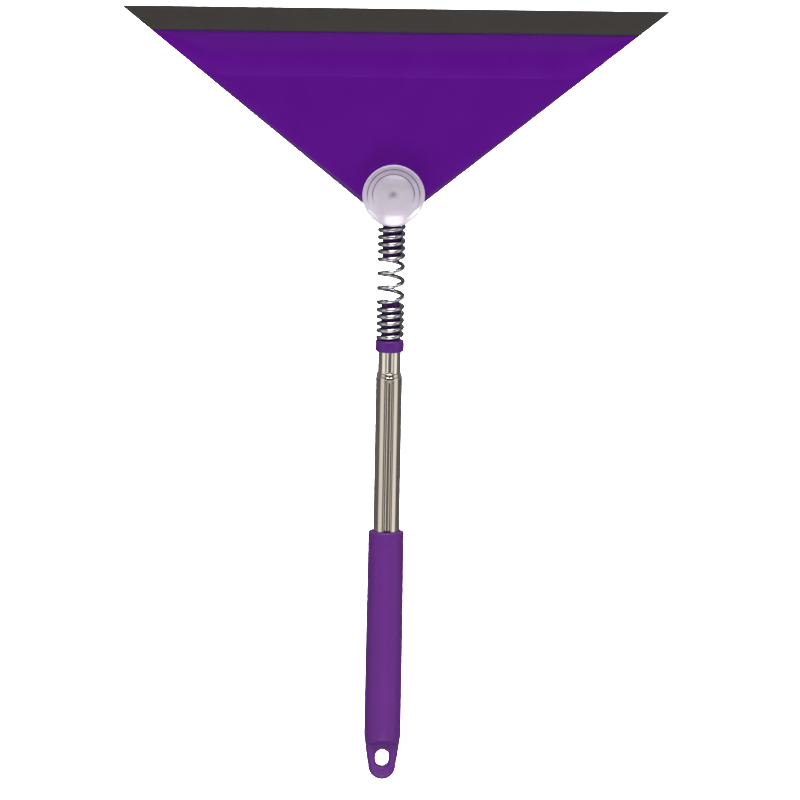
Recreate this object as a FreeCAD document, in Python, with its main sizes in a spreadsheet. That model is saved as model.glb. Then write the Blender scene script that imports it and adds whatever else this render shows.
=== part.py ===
import FreeCAD, Part
import math
import os
import Sketcher

# Window cleaning squeegee: a triangular flexible head with a rubber blade and a
# suction cup, a coil spring neck, a two-stage telescopic steel pole and a grip.
# Millimetres. +Z runs up the pole to the blade, the cup faces -Y. The origin is
# on the pole's axis, at the middle of the straight barrel that the hand holds.

doc = FreeCAD.newDocument("WindowSqueegee")
sheet = doc.addObject("Spreadsheet::Sheet", "Sizes")

SIZES = {
    # grip
    "barrel_length": 61.0,
    "barrel_radius": 13.2,
    "grip_neck_length": 87.1,
    "grip_mouth_radius": 12.8,
    "grip_edge_round": 1.2,
    "tab_length": 32.5,
    "tab_end_radius": 9.9,
    "tab_thickness": 11.0,
    "tab_recess_rise": 26.4,
    "tab_recess_angle": 25.0,
    "hang_hole_rise": 15.75,
    "hang_hole_width": 9.6,
    "hang_hole_height": 12.7,
    "hang_hole_round": 1.0,
    # telescopic pole
    "tube_wall": 0.5,
    "outer_tube_radius": 9.5,
    "tube_in_grip": 137.6,
    "outer_tube_shown": 114.7,
    "swage_length": 3.1,
    "groove_radius": 2.4,
    "groove_start": 2.0,
    "inner_tube_shown": 15.4,
    "stop_flange": 1.5,
    "stop_height": 8.0,
    "stop_core_radius": 6.0,
    "bush_length": 30.0,
    "bush_floor": 1.5,
    "bush_pip_radius": 1.5,
    "bush_pip_rise": 12.0,
    "leaf_length": 16.0,
    "leaf_width": 4.0,
    "leaf_strip": 0.25,
    "leaf_bow": 0.25,
    "leaf_rise": 20.0,
    # spring neck
    "collar_radius": 10.3,
    "collar_round": 1.2,
    "lower_collar_height": 8.4,
    "upper_collar_height": 5.0,
    "stem_length": 30.0,
    "lower_stub_length": 28.5,
    "upper_stub_length": 26.0,
    "stub_chamfer": 1.5,
    "tenon_radius": 5.0,
    "tenon_length": 11.0,
    "spring_mean_radius": 8.55,
    "spring_wire": 3.3,
    "lower_turns": 5.0,
    "lower_pitch": 4.97,
    "open_turns": 3.0,
    "open_pitch": 10.67,
    "upper_turns": 4.5,
    "upper_pitch": 5.2,
    # head
    "head_height": 133.8,
    "apex_width": 18.0,
    "apex_thickness": 17.0,
    "apex_round": 7.5,
    "shell_top_thickness": 4.0,
    "shell_top_round": 1.2,
    "crease_rise": 101.4,
    "trough_radius": 75.0,
    "trough_angle": 16.0,
    "hollow_rise": 27.0,
    "hollow_margin": 6.0,
    "skin": 3.0,
    "rim_wall": 4.5,
    "rib_wall": 2.4,
    "rib_angle": 27.0,
    "tongue_thickness": 1.6,
    "tongue_height": 9.0,
    "tongue_inset": 8.0,
    "bead_radius": 1.4,
    "blade_height": 17.0,
    "blade_length": 391.5,
    "blade_root_thickness": 5.0,
    "blade_edge_thickness": 1.4,
    # suction cup and the neck's screw
    "cup_rise": 18.5,
    "cup_radius": 22.35,
    "cup_lip": 0.8,
    "cup_depth": 10.4,
    "cup_hub_radius": 7.0,
    "cup_hub_thickness": 3.0,
    "cup_floor": 4.6,
    "cup_floor_radius": 4.0,
    "cup_back_curve": 26.0,
    "cup_inner_curve": 34.0,
    "cup_neck_radius": 3.4,
    "cup_neck_length": 3.4,
    "cup_bulb_radius": 4.8,
    "cup_bulb_length": 4.0,
    "cup_bulb_end_radius": 2.9,
    "screw_rise": 5.6,
    "screw_radius": 1.45,
    "screw_reach": 10.5,
    "screw_head_radius": 3.0,
    "screw_head_height": 1.6,
    "screw_sink": 0.3,
    "screw_cross_width": 0.9,
    "screw_cross_length": 3.6,
    "screw_cross_depth": 0.9,
    # clearances
    "bore_gap": 0.05,
    "stage_gap": 0.8,
    "neck_gap": 0.12,
    "ridge_gap": 0.3,
    "bush_gap": 0.08,
    "stop_gap": 0.3,
    "stub_gap": 0.3,
    "socket_gap": 0.1,
    "cup_gap": 0.45,
}

for row, (alias, value) in enumerate(SIZES.items(), start=1):
    sheet.set(f"A{row}", alias)
    sheet.set(f"B{row}", str(value))
    sheet.setAlias(f"B{row}", alias)
doc.recompute()

# Levels along the pole and the sizes that several pieces share, as expressions
# on the sheet, so that every piece follows the same values.
BARREL_FOOT = "(-Sizes.barrel_length / 2)"
GRIP_FOOT = f"({BARREL_FOOT} - Sizes.tab_length)"
GRIP_TOP = "(Sizes.barrel_length / 2 + Sizes.grip_neck_length)"
OUTER_FOOT = f"({GRIP_TOP} - Sizes.tube_in_grip)"
OUTER_TOP = f"({GRIP_TOP} + Sizes.outer_tube_shown)"
BUSH_FOOT = f"({OUTER_FOOT} + Sizes.stop_height + Sizes.stop_gap)"
INNER_FOOT = f"({BUSH_FOOT} + Sizes.bush_floor)"
LOWER_COLLAR = f"({OUTER_TOP} + Sizes.inner_tube_shown)"
SPRING_FOOT = f"({LOWER_COLLAR} + Sizes.lower_collar_height)"
COIL_START = f"({SPRING_FOOT} + Sizes.spring_wire / 2)"
OPEN_START = f"({COIL_START} + Sizes.lower_turns * Sizes.lower_pitch)"
OPEN_END = f"({OPEN_START} + Sizes.open_turns * Sizes.open_pitch)"
COIL_END = f"({OPEN_END} + Sizes.upper_turns * Sizes.upper_pitch)"
UPPER_COLLAR = f"({COIL_END} + Sizes.spring_wire / 2)"
APEX = f"({UPPER_COLLAR} + Sizes.upper_collar_height)"
SHELL_TOP = f"({APEX} + Sizes.head_height)"
CUP_LEVEL = f"({APEX} + Sizes.cup_rise)"
SCREW_LEVEL = f"({APEX} + Sizes.screw_rise)"
CREASE = f"({APEX} + Sizes.crease_rise)"

OUTER_BORE = "(Sizes.outer_tube_radius - Sizes.tube_wall)"
INNER_RADIUS = f"({OUTER_BORE} - Sizes.stage_gap)"
INNER_BORE = f"({INNER_RADIUS} - Sizes.tube_wall)"
RIDGE = "(Sizes.groove_radius + Sizes.tube_wall)"
INNER_GROOVE = f"({RIDGE} + Sizes.ridge_gap)"
INNER_RIDGE = f"({INNER_GROOVE} + Sizes.tube_wall)"
STUB_RADIUS = "(Sizes.spring_mean_radius - Sizes.spring_wire / 2 - Sizes.stub_gap)"
HEAD_SPREAD = (
    "((Sizes.blade_length - Sizes.apex_width)"
    " / (2 * (Sizes.head_height + Sizes.blade_height)))"
)
SHELL_WIDTH = f"(Sizes.apex_width + 2 * {HEAD_SPREAD} * Sizes.head_height)"
TAPER = "((Sizes.apex_thickness - Sizes.shell_top_thickness) / (2 * Sizes.head_height))"
CUP_SEAT = f"(Sizes.apex_thickness / 2 - {TAPER} * Sizes.cup_rise)"
SCREW_SEAT = f"(Sizes.apex_thickness / 2 - {TAPER} * Sizes.screw_rise)"
CREASE_FACE = f"(Sizes.apex_thickness / 2 - {TAPER} * Sizes.crease_rise)"
OVERRUN = 1.0


def value_of(expression):
    """The number that an expression on the sheet comes to."""
    return float(sheet.evalExpression(str(expression)))


def bind(thing, **expressions):
    """Ties properties of an object to the sheet."""
    for prop, expression in expressions.items():
        thing.setExpression(prop, str(expression))


def place(thing, x=None, y=None, z=None, turn=None):
    """Ties an object's place to the sheet, with an optional fixed turn."""
    if turn:
        axis, angle = turn
        thing.Placement = FreeCAD.Placement(FreeCAD.Vector(), FreeCAD.Rotation(axis, angle))
    for letter, expression in (("x", x), ("y", y), ("z", z)):
        if expression is not None:
            thing.setExpression(f"Placement.Base.{letter}", str(expression))
    return thing


def solid(kind, name, x=None, y=None, z=None, turn=None, **expressions):
    """A Part primitive whose sizes and place come from the sheet."""
    thing = doc.addObject(f"Part::{kind}", name)
    place(thing, x, y, z, turn)
    bind(thing, **expressions)
    return thing


def join(name, *pieces):
    thing = doc.addObject("Part::MultiFuse", name)
    thing.Shapes = list(pieces)
    return thing


def overlap(name, first, second):
    thing = doc.addObject("Part::MultiCommon", name)
    thing.Shapes = [first, second]
    return thing


def cut(name, base, *tools):
    """The base less its tools, which may be one or many."""
    thing = doc.addObject("Part::Cut", name)
    thing.Base = base
    thing.Tool = tools[0] if len(tools) == 1 else join(f"{name}_tools", *tools)
    return thing


def new_body(name):
    return doc.addObject("PartDesign::Body", name)


def new_sketch(body, name, plane, offset=None):
    """A sketch on one of the body's own origin planes, lifted off it by offset."""
    sketch = body.newObject("Sketcher::SketchObject", name)
    planes = {feature.Role: feature for feature in body.Origin.OriginFeatures}
    sketch.AttachmentSupport = [(planes[plane], "")]
    sketch.MapMode = "FlatFace"
    if offset is not None:
        sketch.setExpression("AttachmentOffset.Base.z", str(offset))
    return sketch


def fix(sketch, name, expression, kind, *where):
    """A named constraint whose value is tied to the sheet."""
    sketch.addConstraint(Sketcher.Constraint(kind, *where, value_of(expression)))
    sketch.renameConstraint(sketch.ConstraintCount - 1, name)
    sketch.setExpression(f"Constraints.{name}", str(expression))


def arc_between(start, end, radius, side):
    """The short arc from start to end; side 1 has its centre on the left of the way."""
    chord = end - start
    half = chord.Length / 2
    left = FreeCAD.Vector(-chord.y, chord.x, 0).normalize()
    centre = (start + end) / 2 + left * side * math.sqrt(max(radius**2 - half**2, 0))
    circle = Part.Circle(centre, FreeCAD.Vector(0, 0, 1), radius)
    first, last = (start, end) if side > 0 else (end, start)
    angles = [math.atan2(p.y - centre.y, p.x - centre.x) for p in (first, last)]
    return Part.ArcOfCircle(circle, *angles)


def outline(sketch, corners, arcs=None, tag=""):
    """A closed outline through corners, each a pair of expressions.

    arcs gives, for the edge that leaves a corner, its radius and which side its
    centre is on. Every corner and radius is a named constraint.
    """
    arcs = arcs or {}
    points = [FreeCAD.Vector(value_of(u), value_of(v), 0) for u, v in corners]
    count = len(points)
    starts = []
    ends = []
    for i, start in enumerate(points):
        end = points[(i + 1) % count]
        if i in arcs:
            radius, side = arcs[i]
            edge = sketch.addGeometry(arc_between(start, end, value_of(radius), side))
            fix(sketch, f"radius{tag}{i}", radius, "Radius", edge)
        else:
            side = 1
            edge = sketch.addGeometry(Part.LineSegment(start, end))
        starts.append((edge, 1 if side > 0 else 2))
        ends.append((edge, 2 if side > 0 else 1))
    for i in range(count):
        sketch.addConstraint(Sketcher.Constraint("Coincident", *ends[i - 1], *starts[i]))
    for i, (across, up) in enumerate(corners):
        fix(sketch, f"across{tag}{i}", across, "DistanceX", -1, 1, *starts[i])
        fix(sketch, f"up{tag}{i}", up, "DistanceY", -1, 1, *starts[i])


def rounded_rectangle(sketch, width, depth, radius):
    """A rectangle about the sketch's origin, with four equal round corners."""
    w, d, r = value_of(width) / 2, value_of(depth) / 2, value_of(radius)
    line = Part.LineSegment
    at = FreeCAD.Vector
    sketch.addGeometry(line(at(r - w, -d, 0), at(w - r, -d, 0)))
    sketch.addGeometry(line(at(w, r - d, 0), at(w, d - r, 0)))
    sketch.addGeometry(line(at(w - r, d, 0), at(r - w, d, 0)))
    sketch.addGeometry(line(at(-w, d - r, 0), at(-w, r - d, 0)))
    for i, (x, y) in enumerate(((w - r, r - d), (w - r, d - r), (r - w, d - r), (r - w, r - d))):
        circle = Part.Circle(at(x, y, 0), at(0, 0, 1), r)
        first = (i - 1) * math.pi / 2
        sketch.addGeometry(Part.ArcOfCircle(circle, first, first + math.pi / 2))
        sketch.addConstraint(Sketcher.Constraint("Tangent", i, 2, 4 + i, 1))
        sketch.addConstraint(Sketcher.Constraint("Tangent", 4 + i, 2, (i + 1) % 4, 1))
    for side in (0, 2):
        sketch.addConstraint(Sketcher.Constraint("Horizontal", side))
        sketch.addConstraint(Sketcher.Constraint("Vertical", side + 1))
    for corner in (4, 5, 6):
        sketch.addConstraint(Sketcher.Constraint("Equal", corner, corner + 1))
    sketch.addConstraint(Sketcher.Constraint("Symmetric", 4, 3, 6, 3, -1, 1))
    fix(sketch, "width", width, "DistanceX", 3, 1, 1, 1)
    fix(sketch, "depth", depth, "DistanceY", 0, 1, 2, 1)
    fix(sketch, "corner", radius, "Radius", 4)


def rectangle(sketch, width, depth):
    """A rectangle about the sketch's origin."""
    w, d = f"({width} / 2)", f"({depth} / 2)"
    outline(sketch, [(f"-{w}", f"-{d}"), (w, f"-{d}"), (w, d), (f"-{w}", d)])


def revolve(body, name, corners, arcs=None, plane="XZ_Plane", axis="V_Axis"):
    """A turned solid: an outline spun about the sketch's own axis."""
    sketch = new_sketch(body, f"{name}_profile", plane)
    outline(sketch, corners, arcs)
    spin = body.newObject("PartDesign::Revolution", f"{name}_turned")
    spin.Profile = sketch
    spin.ReferenceAxis = (sketch, [axis])
    spin.Angle = 360
    return spin


def pocket_through(body, sketch, name):
    """Cuts a sketch right through, both ways from its plane."""
    before = body.Shape.Volume
    pocket = body.newObject("PartDesign::Pocket", name)
    pocket.Profile = sketch
    pocket.Type = 1
    pocket.Midplane = True
    doc.recompute()
    assert body.Shape.Volume < before, f"{name} cuts nothing"
    return pocket


def round_edges(body, name, radius, chosen):
    """Rounds the body's edges that the test chosen picks."""
    doc.recompute()
    base = body.Tip
    edges = [f"Edge{i}" for i, edge in enumerate(base.Shape.Edges, 1) if chosen(edge)]
    assert edges, f"{name} found no edge"
    fillet = body.newObject("PartDesign::Fillet", name)
    fillet.Base = (base, edges)
    bind(fillet, Radius=radius)
    doc.recompute()
    return fillet


def ring_at(level, radius):
    """Picks the circular edges about the pole's axis at a level and radius."""
    z, r = value_of(level), value_of(radius)
    near = 1e-3

    def chosen(edge):
        if edge.Degenerated or not isinstance(edge.Curve, Part.Circle):
            return False
        curve = edge.Curve
        return abs(curve.Center.z - z) < near and abs(curve.Radius - r) < near

    return chosen


def groove_rod(name, radius, foot, length):
    """A rod on the line that both tubes' grooves share, on the outer tube's front."""
    return solid(
        "Cylinder", name, y="-Sizes.outer_tube_radius", z=foot, Radius=radius, Height=length
    )


def rod(name, radius, foot, length):
    """A plain round rod on the pole's axis."""
    return solid("Cylinder", name, z=foot, Radius=radius, Height=length)


def make_grip():
    """The moulded grip: a round barrel, bored for the tube, with a flat hang tab."""
    body = new_body("grip")
    bore = "(Sizes.outer_tube_radius + Sizes.bore_gap)"
    floor = f"({OUTER_FOOT} - Sizes.stop_flange)"
    revolve(
        body,
        "grip",
        [
            ("0", floor),
            ("0", GRIP_FOOT),
            ("Sizes.tab_end_radius", f"{GRIP_FOOT} + Sizes.tab_end_radius"),
            ("Sizes.barrel_radius", BARREL_FOOT),
            ("Sizes.barrel_radius", "Sizes.barrel_length / 2"),
            ("Sizes.grip_mouth_radius", GRIP_TOP),
            (bore, GRIP_TOP),
            (bore, floor),
        ],
        {1: ("Sizes.tab_end_radius", 1)},
    )
    doc.recompute()

    flats = new_sketch(body, "tab_flats", "YZ_Plane")
    half = "(Sizes.tab_thickness / 2)"
    reach = "(2 * Sizes.barrel_radius)"
    step = f"({GRIP_FOOT} + Sizes.tab_recess_rise)"
    lip = f"({step} + ({reach} - {half}) * tan(Sizes.tab_recess_angle * 1 deg))"
    below = f"({GRIP_FOOT} - Sizes.tab_end_radius)"
    for tag, sign in (("front", "-"), ("back", "")):
        outline(
            flats,
            [
                (f"{sign}{half}", below),
                (f"{sign}{half}", step),
                (f"{sign}{reach}", lip),
                (f"{sign}{reach}", below),
            ],
            tag=tag,
        )
    pocket_through(body, flats, "tab_flats_cut")

    hole = new_sketch(body, "hang_hole", "XZ_Plane")
    side = "(Sizes.hang_hole_width / 2)"
    middle = f"({GRIP_FOOT} + Sizes.hang_hole_rise)"
    straight = "((Sizes.hang_hole_height - Sizes.hang_hole_width) / 2)"
    outline(
        hole,
        [
            (f"-{side}", f"{middle} + {straight}"),
            (f"-{side}", f"{middle} - {straight}"),
            ("0", f"{middle} - {straight} - {side}"),
            (side, f"{middle} - {straight}"),
            (side, f"{middle} + {straight}"),
            ("0", f"{middle} + {straight} + {side}"),
        ],
        {1: (side, 1), 2: (side, 1), 4: (side, 1), 5: (side, 1)},
    )
    pocket_through(body, hole, "hang_hole_cut")

    low = value_of(f"{middle} - Sizes.hang_hole_height / 2")
    high = value_of(f"{middle} + Sizes.hang_hole_height / 2")
    wide = value_of(side)
    flat = value_of(half)
    near = 1e-3

    def hole_rim(edge):
        box = edge.BoundBox
        inside = box.ZMin > low - near and box.ZMax < high + near
        narrow = max(abs(box.XMin), abs(box.XMax)) < wide + near
        on_face = box.YLength < near and abs(abs(box.YMin) - flat) < near
        return inside and narrow and on_face

    round_edges(body, "hang_hole_edge", "Sizes.hang_hole_round", hole_rim)
    round_edges(
        body, "grip_mouth_edge", "Sizes.grip_edge_round", ring_at(GRIP_TOP, "Sizes.grip_mouth_radius")
    )
    return body


def make_outer_tube():
    """The outer steel tube, swaged in at the top, with a rolled groove down its front."""
    wall = new_body("outer_tube_wall")
    neck = f"({INNER_RADIUS} + Sizes.neck_gap)"
    shoulder = f"({OUTER_TOP} - Sizes.swage_length)"
    revolve(
        wall,
        "outer_tube",
        [
            (OUTER_BORE, OUTER_FOOT),
            ("Sizes.outer_tube_radius", OUTER_FOOT),
            ("Sizes.outer_tube_radius", shoulder),
            (f"{neck} + Sizes.tube_wall", OUTER_TOP),
            (neck, OUTER_TOP),
            (OUTER_BORE, shoulder),
        ],
    )
    top = f"({shoulder} - Sizes.groove_start - {RIDGE})"
    length = f"({top} - {OUTER_FOOT})"
    ridge = join(
        "outer_ridge",
        groove_rod("outer_ridge_rod", RIDGE, OUTER_FOOT, length),
        solid("Sphere", "outer_ridge_end", y="-Sizes.outer_tube_radius", z=top, Radius=RIDGE),
    )
    inside = rod("outer_tube_inside", "Sizes.outer_tube_radius", OUTER_FOOT, f"{length} + 2 * {RIDGE}")
    groove = join(
        "outer_groove",
        groove_rod(
            "outer_groove_rod",
            "Sizes.groove_radius",
            f"{OUTER_FOOT} - {OVERRUN}",
            f"{length} + {OVERRUN}",
        ),
        solid(
            "Sphere",
            "outer_groove_end",
            y="-Sizes.outer_tube_radius",
            z=top,
            Radius="Sizes.groove_radius",
        ),
    )
    walled = join("outer_tube_walled", wall, overlap("outer_ridge_inside", ridge, inside))
    return cut("outer_tube", walled, groove)


def make_end_stop():
    """The plug in the outer tube's foot, which the inner tube's bush comes down on."""
    body = new_body("end_stop_plug")
    foot = f"({OUTER_FOOT} - Sizes.stop_flange)"
    revolve(
        body,
        "end_stop",
        [
            ("0", OUTER_FOOT),
            ("Sizes.stop_core_radius", OUTER_FOOT),
            ("Sizes.stop_core_radius", foot),
            ("Sizes.outer_tube_radius", foot),
            ("Sizes.outer_tube_radius", OUTER_FOOT),
            (OUTER_BORE, OUTER_FOOT),
            (OUTER_BORE, f"{OUTER_FOOT} + Sizes.stop_height"),
            ("0", f"{OUTER_FOOT} + Sizes.stop_height"),
        ],
    )
    notch = groove_rod("end_stop_notch", RIDGE, OUTER_FOOT, f"Sizes.stop_height + {OVERRUN}")
    return cut("end_stop", body, notch)


def make_inner_tube():
    """The inner steel tube, grooved to run on the outer tube's ridge."""
    length = f"({LOWER_COLLAR} - {INNER_FOOT})"
    skin = rod("inner_tube_skin", INNER_RADIUS, INNER_FOOT, length)
    core = rod("inner_tube_core", INNER_BORE, f"{INNER_FOOT} - {OVERRUN}", f"{length} + 2 * {OVERRUN}")
    annulus = cut("inner_tube_annulus", skin, core)
    ridge = overlap(
        "inner_ridge", groove_rod("inner_ridge_rod", INNER_RIDGE, INNER_FOOT, length), skin
    )
    groove = groove_rod(
        "inner_groove", INNER_GROOVE, f"{INNER_FOOT} - {OVERRUN}", f"{length} + 2 * {OVERRUN}"
    )
    return cut("inner_tube", join("inner_tube_walled", annulus, ridge), groove, pip_rod("pip_holes"))


def pip_rod(name):
    """A rod across the pole, as long as the tube is wide, for the bush's two pips."""
    return solid(
        "Cylinder",
        name,
        x="-Sizes.outer_tube_radius",
        z=f"{INNER_FOOT} + Sizes.bush_pip_rise",
        turn=(FreeCAD.Vector(0, 1, 0), 90),
        Radius="Sizes.bush_pip_radius",
        Height="2 * Sizes.outer_tube_radius",
    )


def make_slide_bush():
    """The nylon bush snapped on the inner tube's foot, which runs in the outer tube."""
    skin = rod("bush_skin", f"{OUTER_BORE} - Sizes.bush_gap", BUSH_FOOT, "Sizes.bush_length")
    seat = rod("bush_seat", INNER_RADIUS, INNER_FOOT, "Sizes.bush_length")
    sleeve = cut("bush_sleeve", skin, seat)
    pip_ring = cut("pip_ring", skin, rod("pip_ring_core", INNER_BORE, BUSH_FOOT, "Sizes.bush_length"))
    pips = overlap("bush_pips", pip_rod("pip_pins"), pip_ring)
    groove = groove_rod("bush_groove", INNER_GROOVE, BUSH_FOOT, "Sizes.bush_length")
    window = solid(
        "Box",
        "bush_window",
        x="-Sizes.leaf_width / 2 - Sizes.bush_gap",
        z=f"{INNER_FOOT} + Sizes.leaf_rise - Sizes.leaf_length / 2 - Sizes.bush_gap",
        Length="Sizes.leaf_width + 2 * Sizes.bush_gap",
        Width="Sizes.outer_tube_radius",
        Height="Sizes.leaf_length + 2 * Sizes.bush_gap",
    )
    return cut("slide_bush", join("bush_moulding", sleeve, pips), groove, window)


def make_friction_leaf():
    """The bowed steel leaf in the bush's window, which holds the pole where it is set."""
    body = new_body("friction_leaf")
    profile = new_sketch(body, "leaf_profile", "YZ_Plane")
    middle = f"({INNER_FOOT} + Sizes.leaf_rise)"
    low = f"({middle} - Sizes.leaf_length / 2)"
    high = f"({middle} + Sizes.leaf_length / 2)"
    inner = INNER_RADIUS
    outer = f"({inner} + Sizes.leaf_strip)"
    bend = "((Sizes.leaf_length * Sizes.leaf_length / 4 + Sizes.leaf_bow * Sizes.leaf_bow)"
    bend += " / (2 * Sizes.leaf_bow))"
    outline(
        profile,
        [(inner, low), (outer, low), (outer, high), (inner, high)],
        {1: (bend, 1), 3: (bend, -1)},
    )
    pad = body.newObject("PartDesign::Pad", "leaf_strip_pad")
    pad.Profile = profile
    pad.Midplane = True
    bind(pad, Length="Sizes.leaf_width")
    return body


def make_lower_plug():
    """The lower spring plug: a stem in the inner tube, a collar, and a stub in the coils."""
    body = new_body("lower_plug_turned")
    stub_top = f"({SPRING_FOOT} + Sizes.lower_stub_length)"
    revolve(
        body,
        "lower_plug",
        [
            ("0", f"{LOWER_COLLAR} - Sizes.stem_length"),
            (INNER_BORE, f"{LOWER_COLLAR} - Sizes.stem_length"),
            (INNER_BORE, LOWER_COLLAR),
            ("Sizes.collar_radius", LOWER_COLLAR),
            ("Sizes.collar_radius", SPRING_FOOT),
            (STUB_RADIUS, SPRING_FOOT),
            (STUB_RADIUS, f"{stub_top} - Sizes.stub_chamfer"),
            (f"{STUB_RADIUS} - Sizes.stub_chamfer", stub_top),
            ("0", stub_top),
        ],
    )
    for level, name in ((LOWER_COLLAR, "collar_under"), (SPRING_FOOT, "collar_over")):
        round_edges(body, f"lower_{name}", "Sizes.collar_round", ring_at(level, "Sizes.collar_radius"))
    notch = groove_rod(
        "lower_plug_notch",
        INNER_RIDGE,
        f"{LOWER_COLLAR} - Sizes.stem_length - {OVERRUN}",
        f"Sizes.stem_length + {OVERRUN}",
    )
    return cut("lower_plug", body, notch)


def make_neck_plug():
    """The upper spring plug: a stub in the coils, a collar, and a tenon in the head."""
    body = new_body("neck_plug_turned")
    stub_foot = f"({UPPER_COLLAR} - Sizes.upper_stub_length)"
    revolve(
        body,
        "neck_plug",
        [
            ("0", stub_foot),
            (f"{STUB_RADIUS} - Sizes.stub_chamfer", stub_foot),
            (STUB_RADIUS, f"{stub_foot} + Sizes.stub_chamfer"),
            (STUB_RADIUS, UPPER_COLLAR),
            ("Sizes.collar_radius", UPPER_COLLAR),
            ("Sizes.collar_radius", APEX),
            ("Sizes.tenon_radius", APEX),
            ("Sizes.tenon_radius", f"{APEX} + Sizes.tenon_length"),
            ("0", f"{APEX} + Sizes.tenon_length"),
        ],
    )
    for level, name in ((UPPER_COLLAR, "collar_under"), (APEX, "collar_over")):
        round_edges(body, f"upper_{name}", "Sizes.collar_round", ring_at(level, "Sizes.collar_radius"))
    return cut("neck_plug", body, screw_hole("neck_plug_pilot"))


def screw_hole(name):
    """The screw's own hole, from the head's back face forwards."""
    return solid(
        "Cylinder",
        name,
        y=f"{SCREW_SEAT} - Sizes.screw_sink - Sizes.screw_head_height",
        z=SCREW_LEVEL,
        turn=(FreeCAD.Vector(1, 0, 0), 90),
        Radius="Sizes.screw_radius",
        Height="Sizes.screw_reach",
    )


def make_neck_screw():
    """The self-tapping screw that keeps the neck plug's tenon in the head."""
    body = new_body("neck_screw_blank")
    place(body, y=f"{SCREW_SEAT} - Sizes.screw_sink - Sizes.screw_head_height", z=SCREW_LEVEL)
    revolve(
        body,
        "neck_screw",
        [
            ("-Sizes.screw_reach", "0"),
            ("Sizes.screw_head_height", "0"),
            ("Sizes.screw_head_height", "Sizes.screw_head_radius"),
            ("0", "Sizes.screw_head_radius"),
            ("0", "Sizes.screw_radius"),
            ("Sizes.screw_radius - Sizes.screw_reach", "Sizes.screw_radius"),
        ],
        plane="YZ_Plane",
        axis="H_Axis",
    )
    face = f"({SCREW_SEAT} - Sizes.screw_sink)"
    sides = ("Sizes.screw_cross_length", "Sizes.screw_cross_width")
    slots = []
    for name, wide, high in (("across", *sides), ("upright", *reversed(sides))):
        slots.append(
            solid(
                "Box",
                f"screw_slot_{name}",
                x=f"-{wide} / 2",
                y=f"{face} - Sizes.screw_cross_depth",
                z=f"{SCREW_LEVEL} - {high} / 2",
                Length=wide,
                Width=f"Sizes.screw_cross_depth + {OVERRUN}",
                Height=high,
            )
        )
    return cut("neck_screw", body, *slots)


def make_coil_spring():
    """The chromed spring: close coils on each plug and three open coils between them."""
    body = new_body("coil_spring")
    runs = (
        ("lower", COIL_START, "Sizes.lower_pitch", "Sizes.lower_turns"),
        ("open", OPEN_START, "Sizes.open_pitch", "Sizes.open_turns"),
        ("upper", OPEN_END, "Sizes.upper_pitch", "Sizes.upper_turns"),
    )
    for name, level, pitch, turns in runs:
        sketch = new_sketch(body, f"{name}_wire", "XZ_Plane")
        at = FreeCAD.Vector(-value_of("Sizes.spring_mean_radius"), value_of(level), 0)
        wire = sketch.addGeometry(
            Part.Circle(at, FreeCAD.Vector(0, 0, 1), value_of("Sizes.spring_wire / 2"))
        )
        fix(sketch, "mean_radius", "-Sizes.spring_mean_radius", "DistanceX", -1, 1, wire, 3)
        fix(sketch, "level", level, "DistanceY", -1, 1, wire, 3)
        fix(sketch, "wire", "Sizes.spring_wire / 2", "Radius", wire)
        coil = body.newObject("PartDesign::AdditiveHelix", f"{name}_coils")
        coil.Profile = sketch
        coil.ReferenceAxis = (sketch, ["V_Axis"])
        coil.Mode = 0
        bind(coil, Pitch=pitch, Height=f"{pitch} * {turns}")
        doc.recompute()
    return body


def make_hollow():
    """The cored back of the head: three bays' worth of space between its ribs."""
    body = new_body("hollow_space")
    sections = []
    for name, rise in (
        ("hollow_foot", "Sizes.hollow_rise"),
        ("hollow_head", "(Sizes.crease_rise - Sizes.hollow_margin)"),
    ):
        half = f"(Sizes.apex_width / 2 + {HEAD_SPREAD} * {rise} - Sizes.rim_wall)"
        front = f"(Sizes.skin + {TAPER} * {rise} - Sizes.apex_thickness / 2)"
        section = new_sketch(body, name, "XY_Plane", f"{APEX} + {rise}")
        outline(
            section,
            [
                (f"-{half}", front),
                (half, front),
                (half, "Sizes.apex_thickness"),
                (f"-{half}", "Sizes.apex_thickness"),
            ],
        )
        sections.append(section)
    loft = body.newObject("PartDesign::AdditiveLoft", "hollow_loft")
    loft.Profile = sections[0]
    loft.Sections = [sections[1]]
    loft.Ruled = True
    ribs = [make_rib("rib_middle", 0), make_rib("rib_left", -1), make_rib("rib_right", 1)]
    return cut("hollow_bays", body, *ribs)


def make_rib(name, side):
    """A rib's slab, which stands on the apex and leans to one side by the ribs' angle."""
    lean = f"({side} * Sizes.rib_angle * 1 deg)"
    rib = solid(
        "Box",
        name,
        x=f"-Sizes.rib_wall / 2 * cos({lean})",
        y="-Sizes.apex_thickness",
        z=f"{APEX} + Sizes.rib_wall / 2 * sin({lean})",
        turn=(FreeCAD.Vector(0, side or 1, 0), value_of("Sizes.rib_angle") * abs(side)),
        Length="Sizes.rib_wall",
        Width="3 * Sizes.apex_thickness",
        Height="2 * Sizes.head_height",
    )
    if side:
        bind(rib, **{"Placement.Rotation.Angle": "Sizes.rib_angle * 1 deg"})
    return rib


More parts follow.
